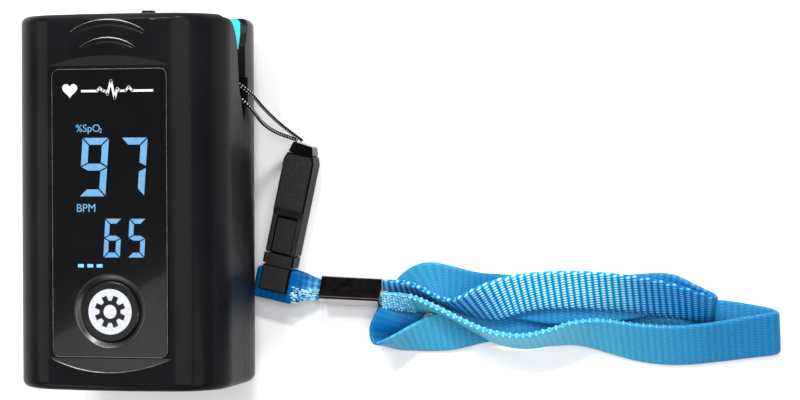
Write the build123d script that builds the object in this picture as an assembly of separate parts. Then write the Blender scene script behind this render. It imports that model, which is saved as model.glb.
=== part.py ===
from build123d import *
import math
import os

# Fingertip pulse oximeter lying on its back, with a lanyard, in millimetres.
# +Z is the display's normal, +Y points to the squeeze end, -Y to the finger's entry,
# and the origin is the middle of the back face that it rests on.

# driving dimensions of the two housings
LENGTH = 58.0
WIDTH = 34.0
HEIGHT = 32.0
WALL = 1.5
SEAM = 16.1           # lower edge of the front housing
RIM = 16.0            # upper edge of the rear housing
HALF_X = WIDTH / 2
HALF_Y = LENGTH / 2
END_ROUND = 1.2

# front housing: a shallow crown between two round sides
CROWN_R = 56.0
SIDE_R = 8.52
SIDE_C = (HALF_X - SIDE_R, 22.72)
ROOF = 28.7           # inside face of the roof

# display window and the flat it sits in
WINDOW_Z = 31.1
WINDOW_T = 1.3
WINDOW_X = 9.4
WINDOW_Y = (-23.9, 20.6)
WINDOW_ROUND = 1.2
FIT = 0.1

# rear housing: flat back with elliptical flanks
FLAT_X = 8.0
FLANK_Z = 13.2
DECK = (12.35, 13.2)

# mouth at the squeeze end, where the halves part beyond the hinge
MOUTH_RIM = 15.2
MOUTH_END = 13.6      # the rim has curved down to this at the very end
MOUTH_X = 15.9        # half width between the two cheeks
NOTCH_Y = (15.0, 19.6)
NOTCH_Z = 13.9        # the lanyard's cord passes over the right cheek here

# clip hinge across the case
PIVOT_Y = 12.5
PIVOT_Z = SEAM
PIN_R = 1.0
LUG_R = 2.0

# finger tunnel, an ellipse along Y
TUNNEL_Z = 18.9
TUNNEL_A = 8.6
TUNNEL_B = 4.6
TUNNEL_END = 6.5
PAD_T = 0.85
SENSE_Y = -6.0

# batteries, two AAA side by side
CELL_R = 5.25
CELL_L = 44.5
CELL_X = 5.4
CELL_Y = -0.2
CELL_Z = 7.0
BAY_X = 11.0
BAY_Y = (-26.0, 25.6)

# power button
BUTTON_Y = -16.8
BUTTON_R = 4.66
MARK_R = 3.5

# boards and screws
BOARD = (25.0, 26.0)
SCREW_X = 12.2
SCREW_Y = (-24.5, 5.0)
SCREW_R = 0.8
REAR_SCREW_X = 13.3
REAR_SCREW_Y = (-25.0, 4.0)

# lanyard
CORD_D = 0.65
STRAP_D = 2.4
CLASP = Location((23.2, 9.1, 0), (0, 0, -12.3))   # local -Y runs down the clasp
CRIMP = Location((30.95, -14.85, 2.16), (0, 0, -2.3)) * Location((0, 0, 0), (-27, 0, 0))

# cord loop: up from the clasp, over the rim, round the post and back again
CORD_ROUTE = [
    (21.90, 9.75, 2.4),
    (20.60, 10.30, 3.3),
    (19.10, 10.95, 5.2),
    (18.00, 12.25, 8.8),
    (17.72, 14.00, 12.6),
    (17.20, 15.30, 14.75),
    (15.60, 16.75, 14.95),
    (13.30, 17.10, 14.85),
    (12.45, 18.30, 14.80),
    (13.40, 19.35, 14.80),
    (15.10, 18.95, 14.85),
    (16.60, 17.90, 14.95),
    (17.75, 16.75, 13.40),
    (18.30, 15.00, 10.20),
    (19.40, 13.10, 7.00),
    (21.00, 11.20, 4.20),
    (22.75, 9.65, 2.4),
]

# neck strap: out of the crimp, a loop with folds on the table, and back
STRAP_ROUTE = [
    (36.30, -16.30, 2.40),
    (38.00, -16.50, 2.60),
    (40.60, -17.00, 3.90),
    (44.50, -18.40, 4.00),
    (49.50, -20.60, 4.00),
    (54.50, -22.90, 3.20),
    (60.50, -23.20, 1.60),
    (67.00, -22.40, 1.35),
    (75.00, -23.30, 1.30),
    (84.00, -23.90, 1.30),
    (92.00, -23.60, 1.30),
    (97.00, -23.80, 1.30),
    (99.80, -22.90, 1.30),
    (100.8, -20.80, 1.30),
    (99.80, -18.70, 1.30),
    (97.00, -17.90, 1.30),
    (92.00, -18.60, 1.30),
    (82.00, -19.10, 1.30),
    (71.00, -18.60, 1.30),
    (61.00, -19.40, 1.30),
    (53.00, -19.20, 1.25),
    (47.50, -21.60, 1.25),
    (43.00, -23.40, 1.25),
    (40.30, -21.80, 1.25),
    (40.60, -18.40, 1.25),
    (42.00, -13.80, 1.25),
    (44.20, -11.00, 1.25),
    (47.60, -11.20, 1.25),
    (52.00, -13.50, 1.25),
    (60.00, -13.20, 1.25),
    (70.00, -13.60, 1.25),
    (79.50, -13.00, 1.25),
    (86.00, -13.40, 1.30),
    (89.50, -13.40, 1.30),
    (90.90, -14.57, 2.09),
    (90.90, -16.23, 3.21),
    (89.50, -17.40, 4.00),
    (85.80, -16.90, 4.00),
    (80.50, -15.60, 4.00),
    (73.00, -14.70, 4.00),
    (64.00, -14.20, 4.00),
    (56.00, -15.10, 4.00),
    (49.00, -15.90, 4.00),
    (44.00, -14.70, 4.00),
    (40.60, -13.90, 3.90),
    (38.20, -13.70, 2.30),
    (36.30, -13.75, 1.90),
]


def block(x, y, z):
    """A box between pairs of limits."""
    size = (x[1] - x[0], y[1] - y[0], z[1] - z[0])
    middle = ((x[0] + x[1]) / 2, (y[0] + y[1]) / 2, (z[0] + z[1]) / 2)
    return Pos(*middle) * Box(*size)


def both(inner, outer, y, z):
    """The same box on the left and on the right of the middle."""
    return block((inner, outer), y, z) + block((-outer, -inner), y, z)


def upright(x, y, z, radius):
    """A cylinder along Z."""
    return Pos(x, y, (z[0] + z[1]) / 2) * Cylinder(radius, z[1] - z[0])


def across(x, y, z, radius):
    """A cylinder along X."""
    return Pos((x[0] + x[1]) / 2, y, z) * Rot(0, 90, 0) * Cylinder(radius, x[1] - x[0])


def along(x, y, z, radius):
    """A cylinder along Y."""
    return Pos(x, (y[0] + y[1]) / 2, z) * Rot(90, 0, 0) * Cylinder(radius, y[1] - y[0])


def prism(outline, y):
    """An XZ outline drawn out along Y."""
    plane = Plane((0, y[0], 0), x_dir=(1, 0, 0), z_dir=(0, -1, 0))
    return extrude(plane * make_face(outline), amount=-(y[1] - y[0]))


def side_cut(points, half_width):
    """A YZ polygon drawn out to both sides of the middle."""
    outline = Polyline(*[(0, y, z) for y, z in points], close=True)
    return extrude(make_face(outline), amount=half_width, dir=(1, 0, 0), both=True)


def tunnel(inset, y):
    """The finger tunnel's elliptical bore, made smaller all round by inset."""
    shape = Ellipse(TUNNEL_A - inset, TUNNEL_B - inset)
    plane = Plane((0, y[0], TUNNEL_Z), x_dir=(1, 0, 0), z_dir=(0, -1, 0))
    return extrude(plane * shape, amount=-(y[1] - y[0]))


def front_outline(inset, foot, top=None):
    """Outline of the front housing; with a top, its roof is flat at that height."""
    r = SIDE_R - inset
    cx, cz = SIDE_C
    x = HALF_X - inset
    if top is None:
        reach = math.atan2(cz + CROWN_R - HEIGHT, cx)
        crown = CROWN_R - inset
        peak = HEIGHT - inset
        joint = (crown * math.cos(reach), HEIGHT - CROWN_R + crown * math.sin(reach))
        roof = ThreePointArc(joint, (0, peak), (-joint[0], joint[1]))
    else:
        joint = (cx + math.sqrt(r * r - (top - cz) ** 2), top)
        roof = Line(joint, (-joint[0], joint[1]))
    turn = math.atan2(joint[1] - cz, joint[0] - cx) / 2
    bulge = (cx + r * math.cos(turn), cz + r * math.sin(turn))
    return [
        Line((-x, foot), (x, foot)),
        Line((x, foot), (x, cz)),
        ThreePointArc((x, cz), bulge, joint),
        roof,
        ThreePointArc((-joint[0], joint[1]), (-bulge[0], bulge[1]), (-x, cz)),
        Line((-x, cz), (-x, foot)),
    ]


def rear_outline(inset, top):
    """Outline of the rear housing up to a level top."""
    a = HALF_X - FLAT_X - inset
    b = FLANK_Z - inset
    x = HALF_X - inset
    right = EllipticalCenterArc((FLAT_X, FLANK_Z), a, b, start_angle=-90, arc_size=90)
    return [
        Line((-FLAT_X, inset), (FLAT_X, inset)),
        right,
        Line((x, FLANK_Z), (x, top)),
        Line((x, top), (-x, top)),
        Line((-x, top), (-x, FLANK_Z)),
        mirror(right, about=Plane.YZ),
    ]


def round_ends(body, seam):
    """Rounds the edges of both end faces, but not along the seam."""
    edges = []
    for edge in body.edges():
        middle = edge.center()
        at_end = abs(abs(middle.Y) - HALF_Y) < 0.01
        if at_end and abs(middle.Z - seam) > 0.01:
            edges.append(edge)
    return fillet(edges, END_ROUND)


def window_plate(inset, z):
    """The display window's rounded rectangle, made larger by a negative inset."""
    y0, y1 = WINDOW_Y
    shape = RectangleRounded(
        2 * (WINDOW_X - inset), y1 - y0 - 2 * inset, WINDOW_ROUND - min(inset, 0)
    )
    return extrude(Pos(0, (y0 + y1) / 2, z[0]) * shape, amount=z[1] - z[0])


def front_housing():
    body = round_ends(prism(front_outline(0, SEAM), (-HALF_Y, HALF_Y)), SEAM)
    facets = [
        (21.0, WINDOW_Z),
        (24.5, 33.17),
        (24.5, 36),
        (-28.9, 36),
        (-28.9, 33.15),
        (-23.9, WINDOW_Z),
    ]
    body -= side_cut(facets, 12.0)
    body -= prism(front_outline(WALL, SEAM - 1, ROOF), (WALL - HALF_Y, HALF_Y - WALL))
    ledge = WINDOW_Z - WINDOW_T
    body -= window_plate(-FIT, (ledge, WINDOW_Z + 1))
    body -= block((-8.2, 8.2), (-10.5, 19.5), (ROOF - 1, ledge + 1))
    body -= upright(0, BUTTON_Y, (ROOF - 1, ledge + 1), 4.9)
    body -= grip_groove(13.2, 14.2, 0.7, 31.65)
    body -= grip_groove(9.0, 15.8, 0.6, 31.81)
    body -= mouth_above()
    for side in (-1, 1):
        body += lug(side)
        for y in SCREW_Y:
            boss = upright(side * SCREW_X, y, (24.4, ROOF + 0.3), 2.0)
            body += boss
            body -= upright(side * SCREW_X, y, (24.0, 28.2), SCREW_R)
    body += block((-15.6, 15.6), (17.6, 19.6), (23.3, 24.7))
    body -= tunnel(-0.3, (-HALF_Y - 1, WALL - HALF_Y + 0.5))
    return body


def lip_cut(points, through):
    """A YZ outline with one arc, from its last point through a middle one to its first."""
    closed = [(0, y, z) for y, z in points]
    arc = ThreePointArc(closed[-1], (0, *through), closed[0])
    return extrude(make_face([Polyline(*closed), arc]), amount=18, dir=(1, 0, 0), both=True)


def mouth_above():
    """The wedge under the front housing beyond the hinge, which ends in a round lip."""
    low = SEAM - 1
    outline = [
        (28.5, 24.9),
        (31.0, 27.0),
        (31.0, low),
        (PIVOT_Y, low),
        (PIVOT_Y, SEAM),
        (18.2, 18.6),
        (23.4, 19.3),
    ]
    return lip_cut(outline, (26.9, 20.95))


def mouth_below():
    """The space over the rear housing's rim, which curves down to the squeeze end."""
    high = RIM + 1
    outline = [
        (29.5, MOUTH_END),
        (31.0, MOUTH_END),
        (31.0, high),
        (PIVOT_Y, high),
        (PIVOT_Y, RIM),
        (13.5, MOUTH_RIM),
        (24.5, MOUTH_RIM),
    ]
    return lip_cut(outline, (26.3, 14.3))


def grip_groove(radius, centre_y, section, floor):
    """A crescent scooped into the crown, down to the floor and no wider than the crown allows."""
    scoop = Pos(0, centre_y, floor + section) * Torus(radius, section)
    return scoop & block((-7, 7), (centre_y + radius * 0.8, HALF_Y), (31, 33))


def lug(side):
    """The front housing's hinge lug, beside its side wall."""
    inner, outer = 13.1, 15.3
    x = sorted((side * inner, side * outer))
    wide = sorted((side * inner, side * 15.6))
    web = block(wide, (PIVOT_Y - LUG_R, PIVOT_Y + LUG_R), (SEAM + 0.3, 24.5))
    knuckle = across(x, PIVOT_Y, PIVOT_Z, LUG_R)
    return web + knuckle - across(wide, PIVOT_Y, PIVOT_Z, PIN_R + 0.06)


def display_window():
    z = (WINDOW_Z - WINDOW_T, WINDOW_Z)
    plate = window_plate(0, z)
    plate = chamfer(plate.faces().sort_by(Axis.Z)[-1].outer_wire().edges(), 0.25)
    plate -= upright(0, BUTTON_Y, (z[0] - 1, z[1] + 1), BUTTON_R + 0.09)
    bevel = Cone(4.75, 5.55, 0.6)
    return plate - Pos(0, BUTTON_Y, WINDOW_Z - 0.3) * bevel


def display_module():
    glass = block((-7.9, 7.9), (-10.3, 19.3), (27.2, 29.7))
    tab = block((-6, 6), (-12.2, -10.3), (27.2, 27.35))
    return glass + tab


def main_board():
    board = block((-14.4, 14.4), (-26.8, 22.5), BOARD)
    board -= block((-2.2, 2.2), (20.5, 23), (24, 27))
    for x in (-SCREW_X, SCREW_X):
        for y in SCREW_Y:
            board -= upright(x, y, (24, 27), 2.15)
    return board


def board_components():
    parts = [
        block((-4, 4), (-2, 6), (BOARD[1], BOARD[1] + 1.0)),
        block((6, 9), (10, 12.5), (BOARD[1], BOARD[1] + 0.8)),
        block((-9, -6.5), (12, 14), (BOARD[1], BOARD[1] + 0.9)),
        block((-9.5, 9.5), (16.2, 17.0), (24.8, BOARD[0])),
        block((-3, 3), (8.6, 10.2), (24.0, BOARD[0])),
    ]
    return Compound(children=parts)


def tact_switch():
    case = block((-2.3, 2.3), (BUTTON_Y - 2.3, BUTTON_Y + 2.3), (BOARD[1], 27.0))
    return case + upright(0, BUTTON_Y, (27.0, 27.3), 1.1)


def upper_liner():
    body = block((-15.2, 15.2), (-27.3, 8.0), (16.3, 24.3))
    outline = front_outline(WALL + 0.2, 10, 24.3)
    body = body & prism(outline, (-28, 9))
    body -= tunnel(0, (-28, TUNNEL_END))
    body -= block((-2.6, 2.6), (SENSE_Y - 2.3, SENSE_Y + 2.3), (20, 25))
    for x in (-SCREW_X, SCREW_X):
        for y in SCREW_Y:
            body -= upright(x, y, (16, 17.7), 1.8)
            body -= upright(x, y, (16, 25), SCREW_R + 0.1)
    return body


def finger_pad(low, high):
    """A soft lining of the tunnel between two heights, with the optics' window."""
    y = (-26.8, TUNNEL_END - 0.2)
    skin = tunnel(0.05, y) - tunnel(PAD_T, (y[0] - 1, y[1] + 1))
    skin = skin & block((-9, 9), y, (low, high))
    return skin - block((-2.6, 2.6), (SENSE_Y - 2.3, SENSE_Y + 2.3), (low - 1, high + 1))


def led_emitter():
    case = block((-2.4, 2.4), (SENSE_Y - 2.1, SENSE_Y + 2.1), (23.2, BOARD[0]))
    return case + upright(0, SENSE_Y, (22.85, 23.2), 1.5)


def screw(x, y, z_head, z_tip):
    """A pan head screw with a cross recess, between its head's outer face and its tip."""
    way = 1 if z_tip > z_head else -1
    neck = z_head + way * 1.2
    long, thin = 1.2, 0.2
    depth = sorted((z_head - way, z_head + way * 0.6))
    head = upright(x, y, sorted((z_head, neck)), 1.6)
    shank = upright(x, y, sorted((neck, z_tip)), SCREW_R)
    slot = block((x - long, x + long), (y - thin, y + thin), depth)
    cross = block((x - thin, x + thin), (y - long, y + long), depth)
    return head + shank - slot - cross


def screws(half_x, ys, z_head, z_tip):
    """Four screws, two on each side of the middle."""
    return Compound(children=[screw(x, y, z_head, z_tip) for x in (-half_x, half_x) for y in ys])


def power_button():
    cap = upright(0, BUTTON_Y, (27.95, 31.05), BUTTON_R)
    cap = chamfer(cap.edges().sort_by(Axis.Z)[-1], 0.2)
    flange = upright(0, BUTTON_Y, (27.95, 28.45), 5.3)
    return cap + flange - button_mark()


def gear(z):
    """A gear outline with eight teeth round a plain disc."""
    root, tip, teeth = 1.72, 2.5, 8
    body = upright(0, BUTTON_Y, z, root)
    for n in range(teeth):
        tooth = block((-0.42, 0.42), (root - 0.5, tip), (0, z[1] - z[0]))
        body += Pos(0, BUTTON_Y, z[0]) * Rot(0, 0, 360 / teeth * (n + 0.5)) * tooth
    return body


def button_mark():
    """White inlay in the button's top: a disc with a gear-shaped hole and a hub."""
    z = (30.85, 31.05)
    disc = upright(0, BUTTON_Y, z, MARK_R) - gear(z)
    return disc + upright(0, BUTTON_Y, z, 1.05)


def rear_housing():
    body = round_ends(prism(rear_outline(0, RIM), (-HALF_Y, HALF_Y)), RIM)
    body -= prism(rear_outline(WALL, RIM + 1), (WALL - HALF_Y, HALF_Y - WALL))
    hull = prism(rear_outline(0.5, RIM), (1 - HALF_Y, HALF_Y - 1))
    outer = BAY_X + 0.8
    y0, y1 = BAY_Y
    core = block((-outer, outer), (y0 - 0.8, y1 + 0.8), (1, DECK[1])) & hull
    body += core
    body -= block((-BAY_X, BAY_X), BAY_Y, (1.6, DECK[0]))
    # way in for the battery cover, with a groove on both sides
    body -= block((-9.65, 9.65), (-21.0, HALF_Y + 1), (-1, 1.65))
    body -= block((-10.6, 10.6), (-21.0, HALF_Y + 1), (0.95, 1.65))
    body -= block((-5.1, 5.1), (SENSE_Y - 4.1, SENSE_Y + 4.1), (DECK[0] - 1, DECK[1] + 1))
    # the mouth's curved rim, the step that the liner's flange lies on, and the cord's notch
    body -= mouth_below()
    body -= block((-MOUTH_X, MOUTH_X), (24.0, 31.0), (FLANK_Z, RIM + 1))
    body -= block((15.0, 18.0), NOTCH_Y, (NOTCH_Z, RIM + 1))
    for side in (-1, 1):
        wide = sorted((side * 11.0, side * 12.9))
        body += block(wide, (PIVOT_Y - LUG_R, PIVOT_Y + LUG_R), (11, PIVOT_Z))
        body += across(wide, PIVOT_Y, PIVOT_Z, LUG_R)
        for y in REAR_SCREW_Y:
            body += upright(side * REAR_SCREW_X, y, (6.5, DECK[1]), 1.5) & hull
            body -= upright(side * REAR_SCREW_X, y, (8.2, DECK[1] + 1), SCREW_R)
    body -= across((-14, 14), PIVOT_Y, PIVOT_Z, PIN_R)
    body -= tunnel(-0.3, (-HALF_Y - 1, WALL - HALF_Y + 0.5))
    # foot of the lanyard post and the small stop on the squeeze end
    body += block((11.0, 15.6), (16.6, 19.8), (11.6, DECK[1])) & hull
    body -= upright(14.0, 18.2, (12.0, 15), 0.6)
    root = HALF_Y - 0.05
    nub = along(0, (root, 30.0), 12.5, 1.2) + Pos(0, 30.0, 12.5) * Sphere(1.2)
    return body + (nub & block((-2, 2), (root, 30.6), (11, 14)))


def battery_cover():
    shell = round_ends(prism(rear_outline(0, RIM), (-HALF_Y, HALF_Y)), RIM)
    plate = shell & block((-9.55, 9.55), (-20.9, HALF_Y), (0, 1.55))
    rail = block((-10.5, 10.5), (-20.9, HALF_Y - 0.6), (1.05, 1.55))
    cover = plate + rail
    for n in range(5):
        y = 14.0 + 1.6 * n
        cover -= block((-6, 6), (y, y + 0.8), (-0.1, 0.3))
    return cover


def cell(x, tip_up):
    """One AAA cell with its raised contact at one end."""
    y0 = CELL_Y - CELL_L / 2
    y1 = y0 + CELL_L
    tip = 1.2
    can = (y0, y1 - tip) if tip_up else (y0 + tip, y1)
    knob = (y1 - tip, y1) if tip_up else (y0, y0 + tip)
    case = fillet(along(x, can, CELL_Z, CELL_R).edges().filter_by(GeomType.CIRCLE), 0.5)
    return case + along(x, knob, CELL_Z, 1.9)


def battery_springs():
    """Contact springs on the flat ends of the two cells."""
    wire = 0.3
    ends = (
        (CELL_X, BAY_Y[0] + 0.4, CELL_Y - CELL_L / 2),
        (-CELL_X, CELL_Y + CELL_L / 2, BAY_Y[1] - 0.4),
    )
    parts = []
    for x, y0, y1 in ends:
        height = y1 - y0 - 2 * wire - 0.1
        turns = Helix(pitch=height / 3, height=height, radius=3.0)
        section = Plane(origin=turns @ 0, z_dir=turns % 0) * Circle(wire)
        coil = sweep(section, path=turns)
        parts.append(Pos(x, y0 + wire + 0.05, CELL_Z) * Rot(-90, 0, 0) * coil)
    return Compound(children=parts)


def battery_contacts():
    """A bridge at one end, two tabs at the other, and bumps for the raised tips."""
    y0, y1 = BAY_Y
    bridge = block((-9.5, 9.5), (y0, y0 + 0.4), (3.5, 10.5))
    bump = (y0 + 0.4, CELL_Y - CELL_L / 2)
    bridge += along(-CELL_X, bump, CELL_Z, 1.5)
    tab = block((1.6, 9.5), (y1 - 0.4, y1), (3.5, 10.5))
    tab += along(CELL_X, (CELL_Y + CELL_L / 2, y1 - 0.4), CELL_Z, 1.5)
    plain = block((-9.5, -1.6), (y1 - 0.4, y1), (3.5, 10.5))
    return Compound(children=[bridge, tab, plain])


def lower_liner():
    body = block((-15.3, 15.3), (-27.3, 8.0), (DECK[1] + 0.05, 15.9))
    body += block((-15.3, 15.3), (7.9, 24.5), (DECK[1] + 0.05, 14.0))
    flange = block((-MOUTH_X + FIT, MOUTH_X - FIT), (24.1, HALF_Y - 0.1), (DECK[1] + 0.05, 14.0))
    body += fillet(flange.edges().filter_by(Axis.Z).sort_by(Axis.Y)[-2:], 1.0)
    body -= tunnel(0, (-28, TUNNEL_END))
    body -= block((-2.6, 2.6), (SENSE_Y - 2.3, SENSE_Y + 2.3), (13, 16))
    body -= both(10.7, 16, (10.1, 14.9), (13, 16))
    body -= both(11.2, 16, (16.2, 20.2), (13, 16))
    body -= block((-3.2, 3.2), (8.5, 10.5), (13, 16))
    for x in (-REAR_SCREW_X, REAR_SCREW_X):
        for y in REAR_SCREW_Y:
            body -= upright(x, y, (14.6, 17), 1.75)
            body -= upright(x, y, (13, 17), SCREW_R + 0.1)
    return body


def sensor_board():
    return block((-5.0, 5.0), (SENSE_Y - 4.0, SENSE_Y + 4.0), (12.6, DECK[1]))


def photo_sensor():
    case = block((-2.4, 2.4), (SENSE_Y - 2.1, SENSE_Y + 2.1), (DECK[1], 14.6))
    return case + upright(0, SENSE_Y, (14.6, 14.95), 1.5)


def torsion_spring(side):
    """A coil round the pin with one leg on the liner and one under the front's bar."""
    wire, mean = 0.3, 1.75
    coil_x = side * 7.2
    width = 3.0
    turns = Helix(pitch=0.75, height=width, radius=mean)
    section = Plane(origin=turns @ 0, z_dir=turns % 0) * Circle(wire)
    coil = Pos(coil_x - width / 2, PIVOT_Y, PIVOT_Z) * Rot(0, 90, 0) * sweep(section, path=turns)
    low_x = coil_x + side * (width / 2 + 2 * wire + 0.1)
    high_x = coil_x - side * (width / 2 + 2 * wire + 0.1)
    low = along(low_x, (PIVOT_Y, 21.0), 14.35, wire)
    start = Vector(high_x, PIVOT_Y, PIVOT_Z + mean)
    end = Vector(high_x, 18.6, 22.9)
    high = Plane(origin=start, z_dir=end - start) * Pos(0, 0, (end - start).length / 2)
    high = high * Cylinder(wire, (end - start).length)
    return Compound(children=[coil, low, high])


def flex_connector():
    return block((-3.0, 3.0), (8.6, 10.4), (DECK[1], 14.0))


def lanyard_post():
    pin = upright(14.0, 18.2, (12.0, 15.5), 0.6)
    return pin + upright(14.0, 18.2, (15.5, 15.8), 0.95)


def clasp_cap():
    edge = [(-1.62, 0.1), (1.68, -0.2), (2.12, -1.7), (-2.12, -1.7)]
    cap = extrude(Pos(0, 0, 0.6) * make_face(Polyline(*edge, close=True)), amount=3.2)
    cap = fillet(cap.edges().filter_by(Axis.Z), 0.25)
    return CLASP * cap


def clasp_socket():
    half, shoulder = 2.57, 2.15
    edge = [
        (-shoulder, -1.75),
        (shoulder, -1.75),
        (half, -2.9),
        (half, -18.3),
        (-half, -18.3),
        (-half, -2.9),
    ]
    body = extrude(Pos(0, 0, 0.2) * make_face(Polyline(*edge, close=True)), amount=4.0)
    body = fillet(body.edges().filter_by(Axis.Z), 0.3)
    body = chamfer(body.faces().sort_by(Axis.Z)[-1].outer_wire().edges(), 0.25)
    body -= side_cut([(-10.6, 4.3), (-12.1, 3.7), (-19, 3.7), (-19, 5), (-10.6, 5)], 3)
    body -= block((-1.75, 1.75), (-19, -12.1), (1.3, 5))
    return CLASP * body


def clasp_plug():
    """Collar with a flat prong above it, and the slotted end that the webbing goes round."""
    body = block((-2.6, 2.6), (-20.1, -18.45), (0.25, 4.15))
    body = chamfer(body.edges().filter_by(Axis.Y), 0.3)
    body += block((-1.6, 1.6), (-18.5, -12.5), (1.45, 2.0))
    body += block((-1.6, 1.6), (-18.5, -17.6), (1.9, 2.6))
    plate = block((-2.35, 2.35), (-24.5, -20.35), (3.4, 4.3))
    body += chamfer(plate.faces().sort_by(Axis.Z)[-1].outer_wire().edges(), 0.2)
    body += block((-2.1, 2.1), (-20.4, -20.0), (3.45, 4.05))
    body += block((-1.1, 1.1), (-24.4, -20.0), (1.15, 2.15))
    body += block((-0.6, 0.6), (-24.4, -23.7), (1.15, 3.5))
    return CLASP * body


def clasp_latch():
    """The tongue that is pressed to let the plug go."""
    tongue = block((-1.6, 1.6), (-18.0, -12.35), (2.75, 3.45))
    tongue += across((-1.6, 1.6), -18.0, 3.05, 0.4)
    return CLASP * chamfer(tongue.edges().sort_by(Axis.Y)[-2:], 0.2)


def webbing_loop():
    """Folded webbing from the slot in the clasp to the crimp."""
    t = 0.6
    low, high, fold_x = 0.2, 3.15, -2.35
    mid = (low + high) / 2
    r = (high - low) / 2
    outer = [
        Line((7.28, 1.1), (3.6, low)),
        Line((3.6, low), (fold_x, low)),
        ThreePointArc((fold_x, low), (fold_x - r, mid), (fold_x, high)),
        Line((fold_x, high), (3.0, high)),
        Line((3.0, high), (7.28, 2.5)),
        Line((7.28, 2.5), (7.28, 1.1)),
    ]
    inner = [
        Line((3.8, low + t), (fold_x, low + t)),
        ThreePointArc((fold_x, low + t), (fold_x - r + t, mid), (fold_x, high - t)),
        Line((fold_x, high - t), (3.0, high - t)),
        Line((3.0, high - t), (3.8, low + t)),
    ]
    plane = Plane((0, -20.5, 0), x_dir=(1, 0, 0), z_dir=(0, -1, 0))
    band = extrude(plane * make_face(outer), amount=3.1) - extrude(plane * make_face(inner), amount=3.1)
    band += block((-2.6, 4.2), (-26.0, -23.5), (low, low + t))
    band += block((4.0, 7.55), (-24.6, -23.5), (0.8, 1.9))
    band += block((3.9, 4.3), (-24.6, -23.5), (low, 1.9))
    return CLASP * band


def strap_crimp():
    """Pressed metal sleeve, rolled a little about its length."""
    sleeve = Box(10.1, 4.1, 2.7)
    sleeve = fillet(sleeve.edges().filter_by(Axis.X), 0.35)
    return CRIMP * sleeve


def corner_radii(points):
    """Each bend as large as its two runs allow."""
    radii = []
    for before, at, after in zip(points, points[1:], points[2:]):
        first = Vector(*at) - Vector(*before)
        second = Vector(*after) - Vector(*at)
        turn = math.radians(first.get_angle(second))
        shorter = min(first.length, second.length)
        radii.append(0.45 * shorter / math.tan(turn / 2))
    return radii


def cord_tube(points, diameter):
    """A round tube along straight runs joined by arcs."""
    radii = corner_radii(points)
    path = FilletPolyline(*points, radius=radii)
    section = Plane(origin=path @ 0, z_dir=path % 0) * Circle(diameter / 2)
    print(f"cord of {diameter} mm: length {path.length:.2f} mm, tightest bend {min(radii):.2f} mm")
    return sweep(section, path=path)


def main():
    pieces = {
        "front_housing": front_housing(),
        "display_window": display_window(),
        "display_module": display_module(),
        "main_board": main_board(),
        "board_components": board_components(),
        "tact_switch": tact_switch(),
        "upper_liner": upper_liner(),
        "upper_finger_pad": finger_pad(20.2, 24),
        "led_emitter": led_emitter(),
        "front_screws": screws(SCREW_X, SCREW_Y, 16.5, 27.5),
        "power_button": power_button(),
        "button_mark": button_mark(),
        "rear_housing": rear_housing(),
        "battery_cover": battery_cover(),
        "battery_1": cell(-CELL_X, False),
        "battery_2": cell(CELL_X, True),
        "battery_springs": battery_springs(),
        "battery_contacts": battery_contacts(),
        "lower_liner": lower_liner(),
        "lower_finger_pad": finger_pad(13, 15.85),
        "sensor_board": sensor_board(),
        "photo_sensor": photo_sensor(),
        "rear_screws": screws(REAR_SCREW_X, REAR_SCREW_Y, 15.8, 8.4),
        "hinge_pin": across((-15.2, 15.2), PIVOT_Y, PIVOT_Z, PIN_R),
        "torsion_spring_left": torsion_spring(-1),
        "torsion_spring_right": torsion_spring(1),
        "flex_cable": block((-2.5, 2.5), (9.2, 9.5), (14.0, 24.0)),
        "flex_connector": flex_connector(),
        "lanyard_post": lanyard_post(),
        "lanyard_cord": cord_tube(CORD_ROUTE, CORD_D),
        "clasp_cap": clasp_cap(),
        "clasp_socket": clasp_socket(),
        "clasp_plug": clasp_plug(),
        "clasp_latch": clasp_latch(),
        "webbing_loop": webbing_loop(),
        "strap_crimp": strap_crimp(),
        "neck_strap": cord_tube(STRAP_ROUTE, STRAP_D),
    }
    os.makedirs("parts", exist_ok=True)
    for name, shape in pieces.items():
        export_step(shape, f"parts/{name}.step")
        print(f"{name:22s} {shape.volume:10.2f} mm3")


main()
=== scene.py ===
import math
import random

import bpy
from mathutils import Matrix, Vector


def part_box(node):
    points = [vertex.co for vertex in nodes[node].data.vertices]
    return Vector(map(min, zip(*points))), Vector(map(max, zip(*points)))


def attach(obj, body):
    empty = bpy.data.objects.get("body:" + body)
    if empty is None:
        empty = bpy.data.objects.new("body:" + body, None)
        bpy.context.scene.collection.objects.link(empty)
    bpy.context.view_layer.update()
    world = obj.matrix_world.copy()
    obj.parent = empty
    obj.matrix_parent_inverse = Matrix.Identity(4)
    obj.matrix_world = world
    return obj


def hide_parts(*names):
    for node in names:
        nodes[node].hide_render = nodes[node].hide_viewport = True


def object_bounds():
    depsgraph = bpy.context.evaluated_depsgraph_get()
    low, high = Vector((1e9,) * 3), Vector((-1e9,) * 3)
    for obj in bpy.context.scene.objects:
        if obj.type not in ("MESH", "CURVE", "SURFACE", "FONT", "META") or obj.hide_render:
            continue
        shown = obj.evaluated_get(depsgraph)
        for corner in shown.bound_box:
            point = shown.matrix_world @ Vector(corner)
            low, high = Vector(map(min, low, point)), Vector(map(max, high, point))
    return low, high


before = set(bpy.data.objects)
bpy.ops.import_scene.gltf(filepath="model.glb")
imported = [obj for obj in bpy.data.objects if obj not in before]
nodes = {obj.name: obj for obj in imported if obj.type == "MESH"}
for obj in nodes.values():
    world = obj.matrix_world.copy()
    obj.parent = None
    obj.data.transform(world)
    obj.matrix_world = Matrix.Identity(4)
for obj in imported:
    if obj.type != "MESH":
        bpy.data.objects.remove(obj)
cad_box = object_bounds()

MM = 0.001
scene = bpy.context.scene
scene.view_settings.view_transform = "Standard"


# ---------------------------------------------------------------- camera

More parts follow.
